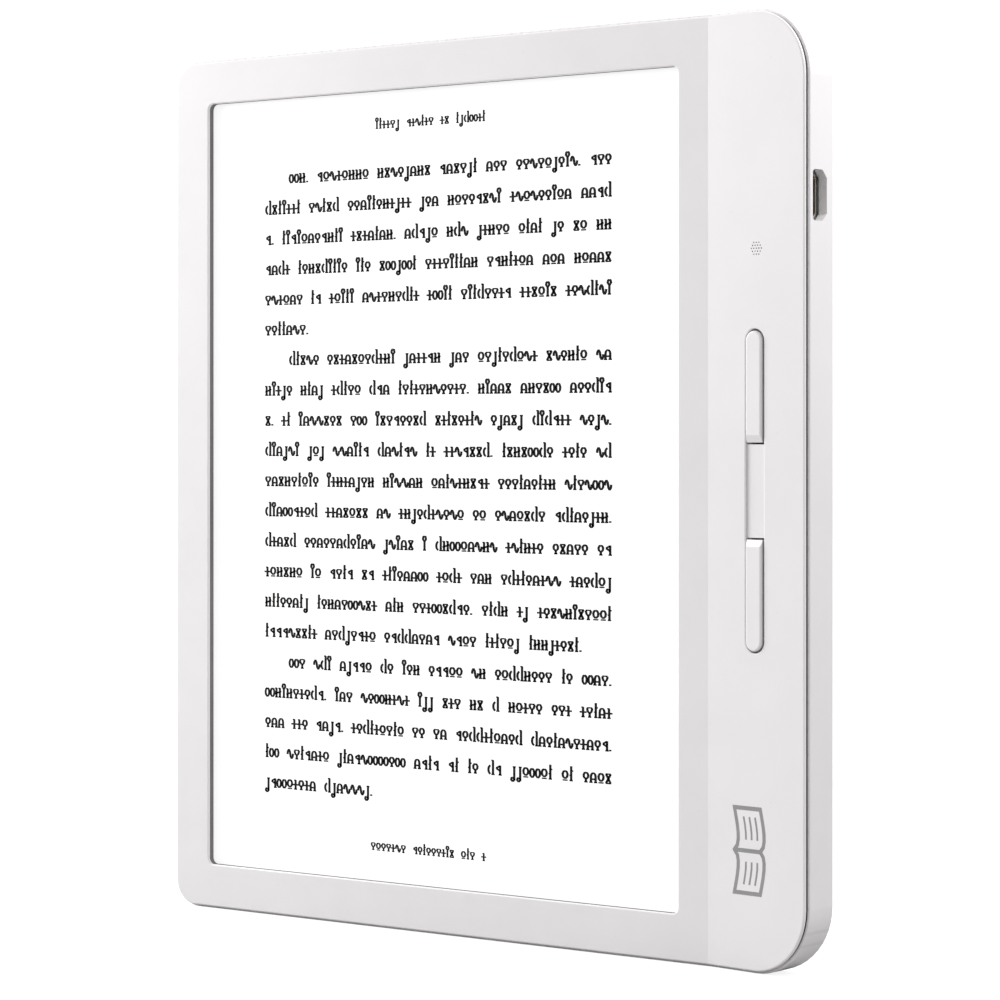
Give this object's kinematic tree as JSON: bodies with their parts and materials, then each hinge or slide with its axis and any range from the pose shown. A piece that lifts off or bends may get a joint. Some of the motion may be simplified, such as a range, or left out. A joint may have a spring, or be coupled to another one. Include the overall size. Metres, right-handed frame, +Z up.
{
  "type": "e-reader",
  "caption": "Flat white e-reader with a recessed paper-like display, a raised grip along one side with sprung page buttons, a charging port and a power key on the back.",
  "frame": {"origin": "centre of the enclosing box at the bottom edge of the upright reader", "axes": "+Z up along the reader's height, +X towards the grip, -Y is the way the display faces"},
  "size_m": [0.144, 0.0079, 0.159],
  "materials": {
    "bezel_plastic": "white moulded plastic, satin, very fine grain",
    "cover_plastic": "white moulded plastic, satin edge and fine dotted back",
    "button_plastic": "white moulded plastic, smooth satin",
    "bridge_plastic": "white moulded plastic, satin",
    "power_key_plastic": "white moulded plastic key",
    "seal_rubber": "soft dark sealing rubber",
    "gasket_foam": "thin black foam",
    "display_film": "anti-glare film over a paper-white display",
    "guide_acrylic": "clear acrylic",
    "led_lens": "pale yellow lens",
    "e_paper_laminate": "pale grey laminate on a thin backplane",
    "black_tape": "black double-sided tape",
    "polyimide_flex": "amber film with fine tracks",
    "connector_nylon": "ivory nylon",
    "chip_epoxy": "black moulded chip",
    "shield_steel": "tinned sheet steel",
    "antenna_ceramic": "pale ceramic block",
    "midframe_magnesium": "cast magnesium plate",
    "screw_steel": "plain steel",
    "pouch_foil": "silver laminate pouch",
    "board_laminate": "green solder mask",
    "wire_insulation": "thin red insulation",
    "port_nickel": "nickel-plated shell",
    "tongue_nylon": "black nylon",
    "contact_gold": "gold-plated contacts",
    "switch_nylon": "black nylon base",
    "plunger_nylon": "pale nylon plunger",
    "page_ink": "near-black page marks",
    "print_ink": "grey pad print"
  },
  "bodies": {
    "housing": {"antenna": "antenna_ceramic", "battery_board": "board_laminate", "battery_plug": "connector_nylon", "battery_pouch": "pouch_foil", "battery_tape": "black_tape", "battery_wires": "wire_insulation", "board_screws": "screw_steel", "bracket_screws": "screw_steel", "button_bridge": "bridge_plastic", "button_connector": "connector_nylon", "button_flex": "polyimide_flex", "display_connector": "connector_nylon", "display_driver": "chip_epoxy", "display_flex": "polyimide_flex", "display_gasket": "gasket_foam", "display_power_chip": "chip_epoxy", "display_tape": "black_tape", "e_paper_panel": "e_paper_laminate", "front_bezel": "bezel_plastic", "front_light_connector": "connector_nylon", "front_light_flex": "polyimide_flex", "front_light_leds": "led_lens", "hall_sensor": "chip_epoxy", "light_guide_plate": "guide_acrylic", "main_board": "board_laminate", "memory_chip": "chip_epoxy", "midframe": "midframe_magnesium", "midframe_screws": "screw_steel", "motion_sensor": "chip_epoxy", "page_switch_base_lower": "switch_nylon", "page_switch_base_upper": "switch_nylon", "perimeter_seal": "seal_rubber", "pivot_pins": "screw_steel", "power_manager": "chip_epoxy", "power_switch_base": "switch_nylon", "processor": "chip_epoxy", "rear_cover": "cover_plastic", "shield_can": "shield_steel", "status_led": "led_lens", "status_light_pipe": "guide_acrylic", "storage_chip": "chip_epoxy", "switch_board": "board_laminate", "switch_bracket": "shield_steel", "touch_connector": "connector_nylon", "touch_flex": "polyimide_flex", "touch_panel": "display_film", "usb_contacts": "contact_gold", "usb_seal": "seal_rubber", "usb_shell": "port_nickel", "usb_tongue": "tongue_nylon", "wifi_module": "shield_steel"},
    "upper_button": {"page_button_upper": "button_plastic"},
    "lower_button": {"page_button_lower": "button_plastic"},
    "upper_plunger": {"page_switch_plunger_upper": "plunger_nylon"},
    "lower_plunger": {"page_switch_plunger_lower": "plunger_nylon"},
    "power_key": {"power_button": "power_key_plastic"},
    "power_plunger": {"power_switch_plunger": "plunger_nylon"}
  },
  "joints": [
    {"name": "upper_button_press", "type": "hinge", "parent": "housing", "child": "upper_button", "pos_m": [0.06097, -0.00125, 0.0885], "axis": [-0.9915, 0.1297, 0], "range_deg": [0, 1.15], "stiffness_Nm_per_rad": 1.3},
    {"name": "lower_button_press", "type": "hinge", "parent": "housing", "child": "lower_button", "pos_m": [0.06097, -0.00125, 0.0705], "axis": [0.9915, -0.1297, 0], "range_deg": [0, 1.15], "stiffness_Nm_per_rad": 1.3},
    {"name": "upper_plunger_press", "type": "slide", "parent": "housing", "child": "upper_plunger", "axis": [0.1297, 0.9915, 0], "range_m": [0, 0.000222]},
    {"name": "lower_plunger_press", "type": "slide", "parent": "housing", "child": "lower_plunger", "axis": [0.1297, 0.9915, 0], "range_m": [0, 0.000222]},
    {"name": "power_key_press", "type": "slide", "parent": "housing", "child": "power_key", "axis": [0, -1, 0], "range_m": [0, 0.0003], "stiffness_N_per_m": 3000},
    {"name": "power_plunger_press", "type": "slide", "parent": "housing", "child": "power_plunger", "axis": [0, -1, 0], "range_m": [0, 0.0003]}
  ],
  "couplings": [
    {"joint": "upper_plunger_press", "follows": "upper_button_press", "m_per_rad": 0.011},
    {"joint": "lower_plunger_press", "follows": "lower_button_press", "m_per_rad": 0.011},
    {"joint": "power_plunger_press", "follows": "power_key_press", "ratio": 1}
  ]
}
